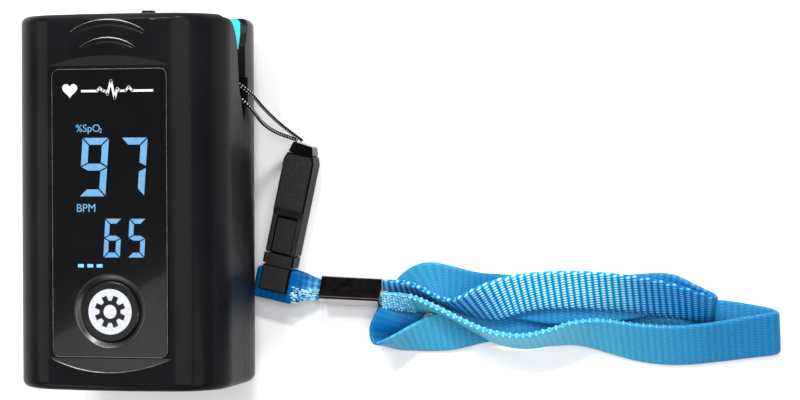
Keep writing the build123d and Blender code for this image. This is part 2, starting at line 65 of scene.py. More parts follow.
CAMERA_AT = Vector((126.165, 4.698, 373.995)) * MM
CAMERA_BACK = Vector((0.22816, 0.01239, 0.97354)).normalized()
CAMERA_ROLL = math.radians(0.21)
CAMERA_LENS = 106.37


def make_camera():
    data = bpy.data.cameras.new("camera")
    data.sensor_width = 36
    data.lens = CAMERA_LENS
    data.clip_start = 0.01
    data.clip_end = 10
    camera = bpy.data.objects.new("camera", data)
    scene.collection.objects.link(camera)
    image_up = Vector((math.sin(CAMERA_ROLL), math.cos(CAMERA_ROLL), 0))
    right = image_up.cross(CAMERA_BACK).normalized()
    up = CAMERA_BACK.cross(right)
    turn = Matrix((right, up, CAMERA_BACK)).transposed().to_4x4()
    camera.matrix_world = Matrix.Translation(CAMERA_AT) @ turn
    scene.camera = camera


make_camera()


# ---------------------------------------------------------------- materials


def srgb(red, green, blue):
    """A colour given as 0-255 screen values, as the linear colour that a shader takes."""
    shares = (c / 255 for c in (red, green, blue))
    return (*(c / 12.92 if c <= 0.04045 else ((c + 0.055) / 1.055) ** 2.4 for c in shares), 1)


class Shader:
    """One Principled material and the few node patterns that this object needs."""

    def __init__(self, name, color, **values):
        self.material = bpy.data.materials.new(name)
        self.material.use_nodes = True
        self.tree = self.material.node_tree
        self.main = self.tree.nodes["Principled BSDF"]
        self.main.inputs["Base Color"].default_value = color
        for socket, value in values.items():
            label = socket.replace("_", " ").title().replace("Ior", "IOR")
            self.main.inputs[label].default_value = value

    def node(self, kind, **links):
        made = self.tree.nodes.new(kind)
        for socket, value in links.items():
            self.feed(made.inputs[socket.replace("_", " ").title()], value)
        return made

    def feed(self, socket, value):
        if isinstance(value, bpy.types.NodeSocket):
            self.tree.links.new(value, socket)
        else:
            socket.default_value = value

    def place(self):
        """Object coordinates, in metres."""
        return self.node("ShaderNodeTexCoord").outputs["Object"]

    def stretched(self, scale):
        """Object coordinates, multiplied by three numbers."""
        return self.node("ShaderNodeMapping", vector=self.place(), scale=scale).outputs["Vector"]

    def noise(self, size, detail=3.0, where=None):
        """Noise whose features are about that many millimetres across."""
        made = self.node("ShaderNodeTexNoise", vector=where or self.place(), detail=detail)
        made.inputs["Scale"].default_value = 1 / (size * MM)
        return made.outputs["Fac"]

    def ramp(self, value, stops):
        made = self.node("ShaderNodeValToRGB")
        self.feed(made.inputs["Fac"], value)
        made.color_ramp.elements[0].position = stops[0][0]
        made.color_ramp.elements[0].color = stops[0][1]
        made.color_ramp.elements[1].position = stops[-1][0]
        made.color_ramp.elements[1].color = stops[-1][1]
        for position, color in stops[1:-1]:
            made.color_ramp.elements.new(position).color = color
        return made.outputs["Color"]

    def tint(self, value, stops):
        """Base colour from a pattern."""
        self.feed(self.main.inputs["Base Color"], self.ramp(value, stops))

    def rough(self, value, low, high):
        """Roughness that a pattern moves between two values."""
        made = self.node("ShaderNodeMapRange", value=value)
        made.inputs["To Min"].default_value = low
        made.inputs["To Max"].default_value = high
        self.feed(self.main.inputs["Roughness"], made.outputs["Result"])

    def math(self, operation, *values):
        made = self.node("ShaderNodeMath")
        made.operation = operation
        for socket, value in zip(made.inputs, values):
            self.feed(socket, value)
        return made.outputs[0]

    def facing_up(self, low, high):
        """0 where the surface's normal has less than that Z, and 1 where it has more."""
        normal = self.node("ShaderNodeNewGeometry").outputs["Normal"]
        split = self.node("ShaderNodeSeparateXYZ", vector=normal)
        made = self.node("ShaderNodeMapRange", value=split.outputs["Z"])
        made.inputs["From Min"].default_value = low
        made.inputs["From Max"].default_value = high
        return made.outputs["Result"]

    def mix(self, share, first, second, kind="FLOAT"):
        """The first value or colour at a share of 0, and the second at 1."""
        made = self.node("ShaderNodeMix")
        made.data_type = kind
        sockets = {"FLOAT": (0, 2, 3, 0), "RGBA": (0, 6, 7, 2)}[kind]
        for socket, value in zip(sockets, (share, first, second)):
            self.feed(made.inputs[socket], value)
        return made.outputs[sockets[3]]

    def bump(self, value, height, strength=1.0):
        """Relief of that many millimetres."""
        made = self.node("ShaderNodeBump")
        self.feed(made.inputs["Height"], value)
        made.inputs["Distance"].default_value = height * MM
        made.inputs["Strength"].default_value = strength
        if self.main.inputs["Normal"].is_linked:
            self.feed(made.inputs["Normal"], self.main.inputs["Normal"].links[0].from_socket)
        self.feed(self.main.inputs["Normal"], made.outputs["Normal"])


# Pitches of the weaves, in millimetres: the strap's crosswise ribs, the crowns along a rib,
# the fine twill's picks, and the lanyard cord's yarns.
RIB_PITCH = 1.05
PICK_PITCH = 0.5
TWILL_PITCH = 0.36
YARN_PITCH = 1.0


def grey(level):
    return srgb(level, level, level)


def case_black():
    made = Shader(
        "case_black", srgb(10, 10, 11), roughness=0.32, specular_ior_level=0.03,
        coat_weight=0.04, coat_roughness=0.1,
    )
    made.tint(made.noise(9, 4), [(0.3, srgb(14, 14, 16)), (0.7, srgb(21, 21, 23))])
    made.rough(made.noise(1.6, 5), 0.27, 0.38)
    made.bump(made.noise(0.11, 2), 0.012, 0.55)
    return made.material


def window_black():
    made = Shader(
        "window_black", srgb(12, 12, 13), roughness=0.09, coat_weight=0.6, coat_roughness=0.03
    )
    made.tint(made.noise(14, 2), [(0.35, srgb(10, 10, 11)), (0.7, srgb(15, 15, 16))])
    made.rough(made.noise(2.5, 6), 0.06, 0.16)
    made.bump(made.noise(7, 2), 0.01, 0.3)
    return made.material


def button_black():
    made = Shader("button_black", srgb(17, 17, 18), roughness=0.24, coat_weight=0.3)
    made.rough(made.noise(0.8, 5), 0.18, 0.34)
    made.bump(made.noise(0.25, 2), 0.006, 0.5)
    return made.material


def mark_white():
    made = Shader("mark_white", srgb(228, 230, 234), roughness=0.5)
    made.tint(made.noise(0.5, 5), [(0.3, srgb(168, 170, 177)), (0.7, srgb(192, 193, 199))])
    made.bump(made.noise(0.12, 2), 0.01, 0.5)
    return made.material


def title_white():
    made = Shader("title_white", srgb(236, 237, 240), roughness=0.45)
    made.tint(made.noise(0.4, 4), [(0.3, srgb(184, 186, 190)), (0.7, srgb(204, 204, 208))])
    return made.material


def lit_blue():
    """Light that comes through the window from the display: even, with a faint unevenness."""
    made = Shader("lit_blue", srgb(96, 168, 222), roughness=0.5)
    made.tint(made.noise(0.7, 3), [(0.3, srgb(70, 120, 158)), (0.7, srgb(82, 132, 168))])
    made.main.inputs["Emission Color"].default_value = srgb(92, 158, 210)
    made.main.inputs["Emission Strength"].default_value = 0.2
    return made.material


def lit_cyan():
    made = Shader("lit_cyan", srgb(120, 205, 240), roughness=0.5)
    made.tint(made.noise(0.7, 3), [(0.3, srgb(84, 166, 200)), (0.7, srgb(100, 178, 208))])
    made.main.inputs["Emission Color"].default_value = srgb(110, 200, 238)
    made.main.inputs["Emission Strength"].default_value = 0.15
    return made.material


def liner_turquoise():
    made = Shader("liner_turquoise", srgb(40, 196, 226), roughness=0.42)
    made.tint(made.noise(5, 3), [(0.3, srgb(34, 188, 220)), (0.7, srgb(56, 206, 233))])
    made.bump(made.noise(0.15, 2), 0.01, 0.5)
    return made.material


def pad_rubber():
    made = Shader("pad_rubber", srgb(58, 59, 62), roughness=0.7)
    made.tint(made.noise(3, 4), [(0.3, srgb(50, 51, 54)), (0.7, srgb(66, 67, 70))])
    made.bump(made.noise(0.3, 3), 0.03, 0.6)
    return made.material


def steel():
    made = Shader("steel", srgb(190, 190, 192), metallic=1.0, roughness=0.28)
    made.rough(made.noise(0.3, 4, made.stretched((1, 12, 1))), 0.2, 0.42)
    made.bump(made.noise(0.15, 3, made.stretched((1, 12, 1))), 0.004, 0.5)
    return made.material


def board_green():
    made = Shader("board_green", srgb(18, 96, 56), roughness=0.35)
    traces = made.noise(1.2, 2, made.stretched((1, 3, 1)))
    made.tint(
        traces, [(0.47, srgb(14, 84, 48)), (0.5, srgb(34, 122, 74)), (0.56, srgb(16, 92, 52))]
    )
    made.bump(traces, 0.03, 0.4)
    return made.material


def chip_black():
    made = Shader("chip_black", grey(34), roughness=0.55)
    made.tint(made.noise(0.5, 4), [(0.3, grey(28)), (0.7, grey(42))])
    made.bump(made.noise(0.1, 2), 0.008, 0.6)
    return made.material


def display_glass():
    made = Shader("display_glass", srgb(24, 32, 42), roughness=0.08, coat_weight=0.5)
    made.rough(made.noise(3, 4), 0.05, 0.14)
    return made.material


def lens_clear():
    made = Shader("lens_clear", srgb(205, 205, 190), roughness=0.12, coat_weight=0.7)
    made.tint(made.noise(0.8, 3), [(0.3, srgb(190, 188, 170)), (0.7, srgb(222, 222, 210))])
    return made.material


def cell_wrap():
    made = Shader("cell_wrap", srgb(60, 62, 70), roughness=0.3, coat_weight=0.3)
    made.tint(made.noise(6, 3), [(0.3, srgb(52, 54, 62)), (0.7, srgb(70, 72, 82))])
    made.bump(made.noise(1.2, 3), 0.01, 0.4)
    return made.material


def flex_amber():
    made = Shader("flex_amber", srgb(196, 116, 34), roughness=0.25, coat_weight=0.4)
    streaks = made.noise(0.8, 2, made.stretched((6, 1, 1)))
    made.tint(streaks, [(0.4, srgb(176, 98, 24)), (0.6, srgb(214, 138, 52))])
    return made.material


def clasp_black():
    """A moulding with a spark-textured grey top; its sides and bevels are smoother, and painted
    near black as painted shade.
    """
    made = Shader("clasp_black", srgb(34, 35, 34), roughness=0.5, specular_ior_level=0.02)
    shade_by_facing = made.facing_up(0.8, 0.98)
    drag = made.noise(0.5, 4, made.stretched((4, 1, 1)))
    grain = made.ramp(drag, [(0.3, srgb(32, 32, 33)), (0.7, srgb(48, 48, 49))])
    # painted shade: the sides and bevels near black, the top in its grey grain
    made.feed(made.main.inputs["Base Color"], made.mix(shade_by_facing, grey(7), grain, "RGBA"))
    made.feed(made.main.inputs["Roughness"], made.mix(shade_by_facing, 0.16, 0.52))
    made.bump(made.math("MULTIPLY", made.noise(0.09, 2), shade_by_facing), 0.014, 0.6)
    return made.material


def clasp_gloss():
    made = Shader(
        "clasp_gloss", grey(8), roughness=0.16, specular_ior_level=0.12, coat_weight=0.06
    )
    made.rough(made.noise(0.9, 4), 0.08, 0.22)
    made.bump(made.noise(1.4, 3), 0.02, 0.5)
    return made.material


# A painted highlight: grey well above the window's black, for the bead along its edge.
def edge_highlight_paint():
    made = Shader("edge_highlight_paint", grey(46), roughness=0.2, specular_ior_level=0.8)
    made.tint(made.noise(2.2, 3), [(0.3, grey(30)), (0.7, grey(62))])
    made.rough(made.noise(1.1, 4), 0.14, 0.34)
    return made.material


def crest_highlight_paint():
    """A painted highlight: light grey for the crests of the case's mouldings, in place of the
    light they catch.
    """
    made = Shader("crest_highlight_paint", grey(150), roughness=0.25, specular_ior_level=0.8)
    made.tint(made.noise(1.6, 3), [(0.3, grey(110)), (0.7, grey(190))])
    made.rough(made.noise(0.8, 4), 0.2, 0.35)
    return made.material


def ring_satin():
    made = Shader("ring_satin", grey(22), roughness=0.3, specular_ior_level=0.6)
    made.rough(made.noise(0.9, 4), 0.26, 0.38)
    made.bump(made.noise(0.2, 2), 0.004, 0.5)
    return made.material


def crimp_metal():
    """Bright metal whose flat top is painted dark with a faint grain, as a painted dark
    reflection; the sides and rims keep the bright metal.
    """
    made = Shader("crimp_metal", srgb(158, 158, 155), metallic=1.0, roughness=0.1)
    # painted reflection: the dark tones that the flat top is painted with
    dark_reflection_tone = made.ramp(made.noise(0.7, 4), [(0.55, srgb(40, 36, 38)), (0.8, srgb(66, 60, 62))])
    shade_by_facing = made.facing_up(0.55, 0.8)
    made.feed(made.main.inputs["Base Color"], made.mix(shade_by_facing, srgb(170, 170, 167), dark_reflection_tone, "RGBA"))
    made.rough(made.noise(1.1, 5), 0.06, 0.15)
    made.bump(made.noise(1.8, 3), 0.012, 0.5)
    made.bump(made.noise(0.2, 3, made.stretched((1, 8, 1))), 0.0004, 0.5)
    return made.material


def along_across(made, name="weave"):
    """A piece's own lengthwise and crosswise places, in millimetres."""
    pin = made.node("ShaderNodeUVMap")
    pin.uv_map = name
    split = made.node("ShaderNodeSeparateXYZ", vector=pin.outputs["UV"])
    return split.outputs["X"], split.outputs["Y"]


def wave(made, place, pitch):
    """A sine of that pitch, from -1 to 1."""
    return made.math("SINE", made.math("MULTIPLY", place, 2 * math.pi / pitch))


def cord_black():
    """Braid: crossing yarns, whose crowns are painted near white: small grey flecks of painted
    highlight.
    """
    made = Shader("cord_black", grey(16), roughness=0.45, specular_ior_level=0.05)
    along, across = along_across(made)
    one_way = wave(made, made.math("ADD", along, across), YARN_PITCH)
    other_way = wave(made, made.math("SUBTRACT", along, across), YARN_PITCH)
    yarns = made.math("MULTIPLY", one_way, other_way)
    # painted highlights: the yarn crowns near white
    made.tint(yarns, [(0.1, grey(2)), (0.4, grey(6)), (0.7, grey(235))])
    made.bump(yarns, 0.03, 0.6)
    return made.material


def webbing_blue():
    """Woven polyester: a fine twill, or ribs of satin crowns where the zone map says so; the map's
    light share mixes a shaded copy of the colours with a paler lit copy whose rib crowns are
    painted near white, as painted shade, sheen and glints.
    """
    made = Shader("webbing_blue", srgb(22, 138, 214), roughness=0.36, specular_ior_level=0.08)
    along, across = along_across(made)
    ribbed, light = along_across(made, "zone")
    rib = made.math("MULTIPLY_ADD", wave(made, along, RIB_PITCH), 0.5, 0.5)
    staggered = made.math("MULTIPLY_ADD", along, PICK_PITCH / RIB_PITCH / 2, across)
    dot = made.math("MULTIPLY_ADD", wave(made, staggered, PICK_PITCH), 0.5, 0.5)
    crowns = made.math("MULTIPLY", rib, dot)
    slant = made.math("MULTIPLY_ADD", along, 0.55, across)
    pick = made.math("MULTIPLY_ADD", wave(made, slant, TWILL_PITCH), 0.3, 0.4)
    twill = made.math("MULTIPLY", made.math("ADD", pick, made.noise(0.22, 3)), 0.62)
    # painted shade and painted light: a shaded and a lit copy of each weave's colours, with
    # painted glints on the lit rib crowns
    shaded_rib = made.ramp(
        crowns, [(0.05, srgb(0, 76, 142)), (0.4, srgb(0, 108, 178)), (0.9, srgb(10, 160, 216))]
    )
    lit_rib_glints = made.ramp(
        crowns, [(0.05, srgb(0, 134, 196)), (0.3, srgb(70, 212, 232)), (0.6, srgb(236, 255, 255))]
    )
    shaded_twill = made.ramp(twill, [(0.2, srgb(0, 66, 126)), (0.7, srgb(0, 92, 152))])
    lit_twill = made.ramp(twill, [(0.2, srgb(10, 144, 186)), (0.7, srgb(84, 186, 212))])
    shaded_copy = made.mix(ribbed, shaded_twill, shaded_rib, "RGBA")
    pale = made.mix(ribbed, lit_twill, lit_rib_glints, "RGBA")
    # the light share picks between the painted shade and the painted light
    made.feed(made.main.inputs["Base Color"], made.mix(light, shaded_copy, pale, "RGBA"))
    made.bump(made.mix(ribbed, made.math("MULTIPLY", twill, 0.25), crowns), 0.07, 0.7)
    made.bump(made.noise(0.08, 3), 0.01, 0.4)
    return made.material


def pale_thread_and_glint():
    """The pale edge and bar-tack threads of the strap; on the edge, the pale colour is a painted
    highlight.
    """
    made = Shader("pale_thread_and_glint", srgb(150, 214, 240), roughness=0.3, specular_ior_level=0.7)
    made.tint(made.noise(0.25, 3), [(0.3, srgb(104, 192, 232)), (0.7, srgb(190, 232, 248))])
    made.bump(made.noise(0.06, 2), 0.01, 0.5)
    return made.material


LOOKS = {
    "case_black": case_black(),
    "window_black": window_black(),
    "button_black": button_black(),
    "mark_white": mark_white(),
    "display_glass": display_glass(),
    "board_green": board_green(),
    "chip_black": chip_black(),
    "liner_turquoise": liner_turquoise(),
    "pad_rubber": pad_rubber(),
    "lens_clear": lens_clear(),
    "steel": steel(),
    "cell_wrap": cell_wrap(),
    "flex_amber": flex_amber(),
    "cord_black": cord_black(),
    "clasp_black": clasp_black(),
    "webbing_blue": webbing_blue(),
    "crimp_metal": crimp_metal(),
}
TITLE_WHITE = title_white()
LIT_BLUE = lit_blue()
LIT_CYAN = lit_cyan()
PALE_THREAD_AND_GLINT = pale_thread_and_glint()
CLASP_GLOSS = clasp_gloss()
EDGE_HIGHLIGHT_PAINT = edge_highlight_paint()
RING_SATIN = ring_satin()
CREST_HIGHLIGHT_PAINT = crest_highlight_paint()


def dress_cad_nodes():
    """Every CAD node wears the finish of the material slot that the record gives it."""
    for name, node in nodes.items():
        for held in node.material_slots:
            held.material = LOOKS[held.material.name.split(".")[0]]
    for held in nodes["clasp_cap"].material_slots:
        held.material = CLASP_GLOSS


dress_cad_nodes()


# ---------------------------------------------------------------- mesh helpers


def mesh_piece(name, points, faces, material, smooth=True):
    """A mesh object from points in the row frame, in metres."""
    data = bpy.data.meshes.new(name)
    data.from_pydata([tuple(p) for p in points], [], faces)
    data.materials.append(material)
    if smooth:
        data.polygons.foreach_set("use_smooth", [True] * len(data.polygons))
    data.validate()
    data.update()
    made = bpy.data.objects.new(name, data)
    scene.collection.objects.link(made)
    return made


def spline_points(route, steps):
    """Points along the smooth NURBS line that has the route as its control points."""
    data = bpy.data.curves.new("line", "CURVE")
    data.dimensions = "3D"
    data.resolution_u = steps
    spline = data.splines.new("NURBS")
    spline.points.add(len(route) - 1)
    for point, place in zip(spline.points, route):
        point.co = (*place, 1)
    spline.order_u = 3
    spline.use_endpoint_u = True
    line = bpy.data.objects.new("line", data)
    read = bpy.data.meshes.new_from_object(line)
    found = [v.co.copy() for v in read.vertices]
    bpy.data.objects.remove(line)
    bpy.data.curves.remove(data)
    bpy.data.meshes.remove(read)
    return found


def travelled(points):
    """The distance along a line at each of its points."""
    sums = [0.0]
    for a, b in zip(points, points[1:]):
        sums.append(sums[-1] + (b - a).length)
    return sums


def evenly(lines, step):
    """Several lines that share their parameter, read at even steps along the first."""
    sums = travelled(lines[0])
    count = round(sums[-1] / step)
    rows = []
    at = 0
    for i in range(count + 1):
        goal = sums[-1] * i / count
        while at < len(sums) - 2 and sums[at + 1] < goal:
            at += 1
        share = (goal - sums[at]) / max(sums[at + 1] - sums[at], 1e-12)
        rows.append([line[at].lerp(line[at + 1], share) for line in lines])
    return rows, sums[-1]


def tangents(points):
    ends = [points[0], *points, points[-1]]
    return [(after - before).normalized() for before, after in zip(ends, ends[2:])]


def skin(rings, closed_ends=True):
    """Faces of a tube whose rings of points follow each other."""
    around = len(rings[0])
    faces = []
    for row in range(len(rings) - 1):
        for k in range(around):
            a = row * around + k
            b = row * around + (k + 1) % around
            faces.append((a, b, b + around, a + around))
    if closed_ends:
        faces.append(tuple(reversed(range(around))))
        last = (len(rings) - 1) * around
        faces.append(tuple(range(last, last + around)))
    return faces


def write_map(piece, name, places):
    """Stores two numbers for each point as a UV map, such as its place along and across."""
    layer = piece.data.uv_layers.new(name=name)
    for polygon in piece.data.polygons:
        for corner in polygon.loop_indices:
            layer.data[corner].uv = places[piece.data.loops[corner].vertex_index]


# ---------------------------------------------------------------- lanyard cord

CORD_DIAMETER = 0.65
CORD_ROUTE = [
    (21.90, 9.75, 2.4), (20.60, 10.30, 3.3), (19.10, 10.95, 5.2), (18.00, 12.25, 8.8),
    (17.72, 14.00, 12.6), (17.20, 15.30, 14.75), (15.60, 16.75, 14.95), (13.30, 17.10, 14.85),
    (12.45, 18.30, 14.80), (13.40, 19.35, 14.80), (15.10, 18.95, 14.85), (16.60, 17.90, 14.95),
    (17.75, 16.75, 13.40), (18.30, 15.00, 10.20), (19.40, 13.10, 7.00), (21.00, 11.20, 4.20),
    (22.75, 9.65, 2.4),
]


def braided_cord():
    """A round braid: its crossing yarns stand out of the tube's surface."""
    route = [Vector(p) * MM for p in CORD_ROUTE]
    rows, length = evenly([spline_points(route, 16)], 0.07 * MM)
    line = [row[0] for row in rows]
    around = 20
    radius = CORD_DIAMETER / 2 * MM
    turns = round(math.pi * CORD_DIAMETER / YARN_PITCH)
    girth = turns * YARN_PITCH
    rings = []
    places = []
    side = Vector((0, 0, 1))
    for step, (centre, ahead) in enumerate(zip(line, tangents(line))):
        side = (side - ahead * side.dot(ahead)).normalized()
        other = ahead.cross(side)
        along = step * length / MM / (len(line) - 1)
        ring = []
        for k in range(around):
            angle = 2 * math.pi * k / around
            lengthwise = 2 * math.pi * along / YARN_PITCH
            crown = math.sin(lengthwise + turns * angle) * math.sin(lengthwise - turns * angle)
            out = radius * (0.9 + 0.1 * crown)
            ring.append(centre + (side * math.cos(angle) + other * math.sin(angle)) * out)
            places.append((along, girth * k / around))
        rings.append(ring)
    points = [p for ring in rings for p in ring]
    cord = mesh_piece("lanyard_braid", points, skin(rings), LOOKS["cord_black"])
    write_map(cord, "weave", places)
    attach(cord, "rear_half")
    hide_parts("lanyard_cord")


braided_cord()


# ---------------------------------------------------------------- neck strap

STRAP_WIDTH = 7.5
STRAP_THICK = 0.8
STRAP_COLUMNS = 24
ROWS_A_RIB = 6

# The strap's route: each point's place, and the half width from it to the strap's upper edge.
STRAP_ROUTE = [
    # out of the crimp, pinched, and up on its edge
    ((36.2, -16.2, 2.4), (0.0, 1.2, 0.5)),
    ((38.5, -16.3, 2.7), (0.0, 1.4, 0.9)),
    ((41.5, -16.6, 3.5), (0.0, 1.3, 2.2)),
    ((44.8, -17.2, 4.5), (0.0, 0.9, 3.2)),
    ((48.0, -18.5, 4.9), (0.0, 0.8, 3.6)),
    ((51.5, -20.4, 4.9), (0.0, 1.0, 3.6)),
    ((55.0, -22.0, 4.6), (0.0, 1.2, 3.6)),
    ((59.5, -22.7, 4.2), (0.0, 1.2, 3.6)),
    ((64.0, -21.8, 4.1), (0.0, 1.3, 3.5)),
    ((68.0, -21.0, 3.7), (0.0, 2.0, 3.2)),
    ((72.5, -21.5, 3.1), (0.0, 2.8, 2.5)),
    ((78.0, -22.7, 2.6), (0.0, 3.1, 2.1)),
    ((84.0, -23.0, 2.5), (0.0, 3.2, 2.0)),
    ((90.0, -22.3, 2.5), (0.0, 3.2, 2.0)),
    ((95.5, -21.4, 2.5), (0.0, 3.3, 1.9)),
    # round the right-hand end and back along the table
    ((98.9, -20.9, 2.6), (0.0, 3.4, 1.8)),
    ((99.7, -20.7, 1.7), (0.0, 3.1, 1.1)),
    ((98.4, -20.5, 0.7), (0.0, 3.5, 0.3)),
    ((95.0, -20.0, 0.6), (0.0, 3.6, 0.1)),
    ((90.0, -19.4, 0.55), (0.0, 3.7, 0.0)),
    ((82.0, -19.3, 0.55), (0.0, 3.7, 0.0)),
    ((71.0, -19.2, 0.55), (0.0, 3.7, 0.0)),
    ((61.0, -19.0, 0.55), (0.0, 3.7, 0.0)),
    ((53.5, -18.9, 0.6), (-0.6, 3.6, 0.0)),
    # the lower left stretch, whose upper edge rises to the left
    ((47.5, -20.8, 0.9), (-0.4, 3.5, 0.4)),
    ((42.5, -22.0, 2.0), (-0.3, 2.5, 1.8)),
    ((38.5, -23.2, 3.1), (-0.3, 1.1, 3.0)),
    # round the left-hand bowl, leaning outwards, and flat under the crimp's end
    ((36.0, -23.5, 3.4), (-0.5, 0.2, 3.3)),
    ((36.3, -21.3, 2.6), (-1.8, 0.6, 2.6)),
    ((38.2, -19.0, 1.3), (-3.1, 1.1, 1.2)),
    ((39.8, -16.6, 0.6), (-3.4, 1.5, 0.2)),
    ((41.8, -14.2, 0.6), (-2.6, 2.7, 0.1)),
    ((44.3, -13.3, 0.9), (-1.3, 3.5, 0.4)),
    ((47.2, -14.4, 1.1), (0.5, 3.7, 0.5)),
    # under the arch, over the return pass
    ((51.5, -15.5, 1.2), (0.1, 3.7, 0.1)),
    ((57.0, -15.5, 1.2), (-0.3, 3.5, -0.3)),
    ((64.0, -16.5, 1.3), (0.0, 3.6, -0.4)),
    ((71.0, -16.0, 1.3), (0.0, 3.6, -0.4)),
    ((77.0, -15.4, 1.5), (0.0, 3.6, -0.1)),
    ((82.0, -14.6, 2.6), (0.9, 3.3, 1.4)),
    ((86.8, -16.0, 3.6), (0.7, 2.5, 2.6)),
    # the fold at the right, and the arch back to the left
    ((89.6, -16.7, 3.9), (0.5, 2.1, 3.0)),
    ((90.0, -17.2, 4.4), (0.5, 2.1, 3.0)),
    ((88.2, -16.9, 4.8), (0.3, 2.3, 2.9)),
    ((84.5, -15.9, 4.9), (0.0, 2.7, 2.6)),
    ((79.5, -15.0, 4.8), (0.0, 2.9, 2.4)),
    ((74.0, -14.4, 4.7), (0.0, 2.9, 2.3)),
    ((68.0, -14.1, 4.7), (0.0, 3.0, 2.3)),
    ((62.0, -14.3, 4.7), (-0.1, 2.9, 2.3)),
    ((57.5, -15.1, 4.6), (-0.5, 3.0, 2.3)),
    ((53.5, -16.6, 4.4), (-1.3, 2.7, 2.4)),
    # behind its own first stretch, back into the crimp
    ((49.5, -17.4, 4.2), (-0.8, 1.3, 3.2)),
    ((46.0, -16.2, 3.9), (-0.3, 0.9, 2.9)),
    ((42.5, -14.6, 3.4), (0.0, 1.0, 2.1)),
    ((39.0, -13.9, 2.5), (0.0, 0.9, 1.0)),
    ((36.2, -13.8, 2.0), (0.0, 0.8, 0.5)),
]


# How ribbed the band is, and how much painted light it has (0 painted shade, 1 lit with painted
# glints), at some of the route's points, by number from 0.
STRAP_ZONES = [
    (0, 0.2, 0.7), (5, 0.1, 0.9), (8, 0.1, 0.85), (11, 0.1, 0.5), (13, 0.1, 0.25),
    (15, 0.1, 0.2), (17, 0.1, 0.3), (22, 0.1, 0.2), (25, 0.1, 0.7), (26, 0.1, 0.6),
    (28, 0.1, 0.0), (30, 0.1, 0.25), (32, 0.1, 0.55), (34, 0.1, 0.2), (39, 0.2, 0.3),
    (41, 0.4, 0.2), (43, 1.0, 0.05), (45, 1.0, 0.2), (46, 1.0, 0.7), (47, 1.0, 1.0),
    (49, 1.0, 1.0), (50, 1.0, 0.6), (51, 1.0, 0.35), (55, 1.0, 0.35),
]


def zone_at(share, marks):
    """How ribbed the band is, and how much painted light it has, at a share of its length."""
    for (i, *low), (k, *high) in zip(STRAP_ZONES, STRAP_ZONES[1:]):
        if share <= marks[k] or k == STRAP_ZONES[-1][0]:
            part = min(1.0, max(0.0, (share - marks[i]) / (marks[k] - marks[i])))
            return tuple(a + (b - a) * part for a, b in zip(low, high))


def selvedge(across, flat):
    """Share of a band's thickness left at a place across it, from -1 to 1; it is 1 out to flat."""
    return math.sqrt(max(0.0, 1 - max(0.0, abs(across) - flat) ** 2 / (1 - flat) ** 2))


def neck_strap():
    """A woven band: its middle line and its upper edge are splines of one parameter."""
    centres = [Vector(c) * MM for c, _ in STRAP_ROUTE]
    uppers = [(Vector(c) + Vector(h)) * MM for c, h in STRAP_ROUTE]
    lines = [spline_points(centres, 20), spline_points(uppers, 20)]
    rows, length = evenly(lines, RIB_PITCH / ROWS_A_RIB * MM)
    line = [row[0] for row in rows]
    sums = travelled(centres)
    marks = [at / sums[-1] for at in sums]
    half_thick = STRAP_THICK / 2 * MM
    rings = []
    places = []
    zones = []
    for step, (ahead, (centre, upper)) in enumerate(zip(tangents(line), rows)):
        half = upper - centre
        face = ahead.cross(half).normalized()
        along = step * length / MM / (len(rows) - 1)
        # light: the share of painted light, from painted shade at 0 to the lit copy at 1
        ribbed, light = zone_at(step / (len(rows) - 1), marks)
        ring = []
        for side, phase in ((1, 0), (-1, math.pi)):
            rib = 0.5 + 0.5 * math.sin(2 * math.pi * along / RIB_PITCH + phase)
            relief = 0.82 + 0.18 * rib * (0.2 + 0.8 * ribbed)
            for k in range(STRAP_COLUMNS + 1):
                across = side * (2 * k / STRAP_COLUMNS - 1)
                out = half_thick * (0.55 + 0.45 * selvedge(across, 0.92)) * relief
                ring.append(centre + half * across + face * out * side)
                places.append((along, across * STRAP_WIDTH / 2))
                zones.append((ribbed, light))
        rings.append(ring)
    points = [p for ring in rings for p in ring]
    strap = mesh_piece("neck_strap_band", points, skin(rings), LOOKS["webbing_blue"])
    write_map(strap, "weave", places)
    write_map(strap, "zone", zones)
    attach(strap, "strap_end")
    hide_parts("neck_strap")
    return rows, marks


strap_rows, strap_marks = neck_strap()


def bead(points, faces, centre, ahead, side, up, size, slim):
    """Adds one small rounded stitch: its half length, and its thickness as a share of that."""
    first = len(points)
    rings = 3
    around = 6
    points.append(centre - ahead * size)
    for ring in range(rings):
        tilt = math.pi * (ring + 1) / (rings + 1)
        for k in range(around):
            turn = 2 * math.pi * k / around
            ring_side = side * (size * slim * math.sin(tilt) * math.cos(turn))
            ring_up = up * (size * slim * math.sin(tilt) * math.sin(turn))
            points.append(centre - ahead * (size * math.cos(tilt)) + ring_side + ring_up)
    points.append(centre + ahead * size)
    last = len(points) - 1
    for k in range(around):
        after = (k + 1) % around
        faces.append((first, first + 1 + after, first + 1 + k))
        faces.append((last, last - around + k, last - around + after))
        for ring in range(rings - 1):
            low = first + 1 + ring * around
            faces.append((low + k, low + after, low + around + after, low + around + k))


def stretch_rows(first, last):
    """The band's rows between two points of its route, with each row's three directions."""
    ahead_of = tangents([row[0] for row in strap_rows])
    low, high = (round(strap_marks[k] * (len(strap_rows) - 1)) for k in (first, last))
    for step in range(low, high):
        centre, upper = strap_rows[step]
        half = upper - centre
        yield step, centre, half, ahead_of[step], ahead_of[step].cross(half).normalized()


# The stretches whose selvedge loops carry painted highlights: first and last point of the route,
# upper (1) or lower (-1) edge, which faces of the band, and the half length of a stitch at both
# ends of the stretch.
GLINT_STRETCHES = (
    (2, 12, 1, (1, -1), 0.26, 0.10),
    (44, 50, -1, (-1,), 0.10, 0.13),
)


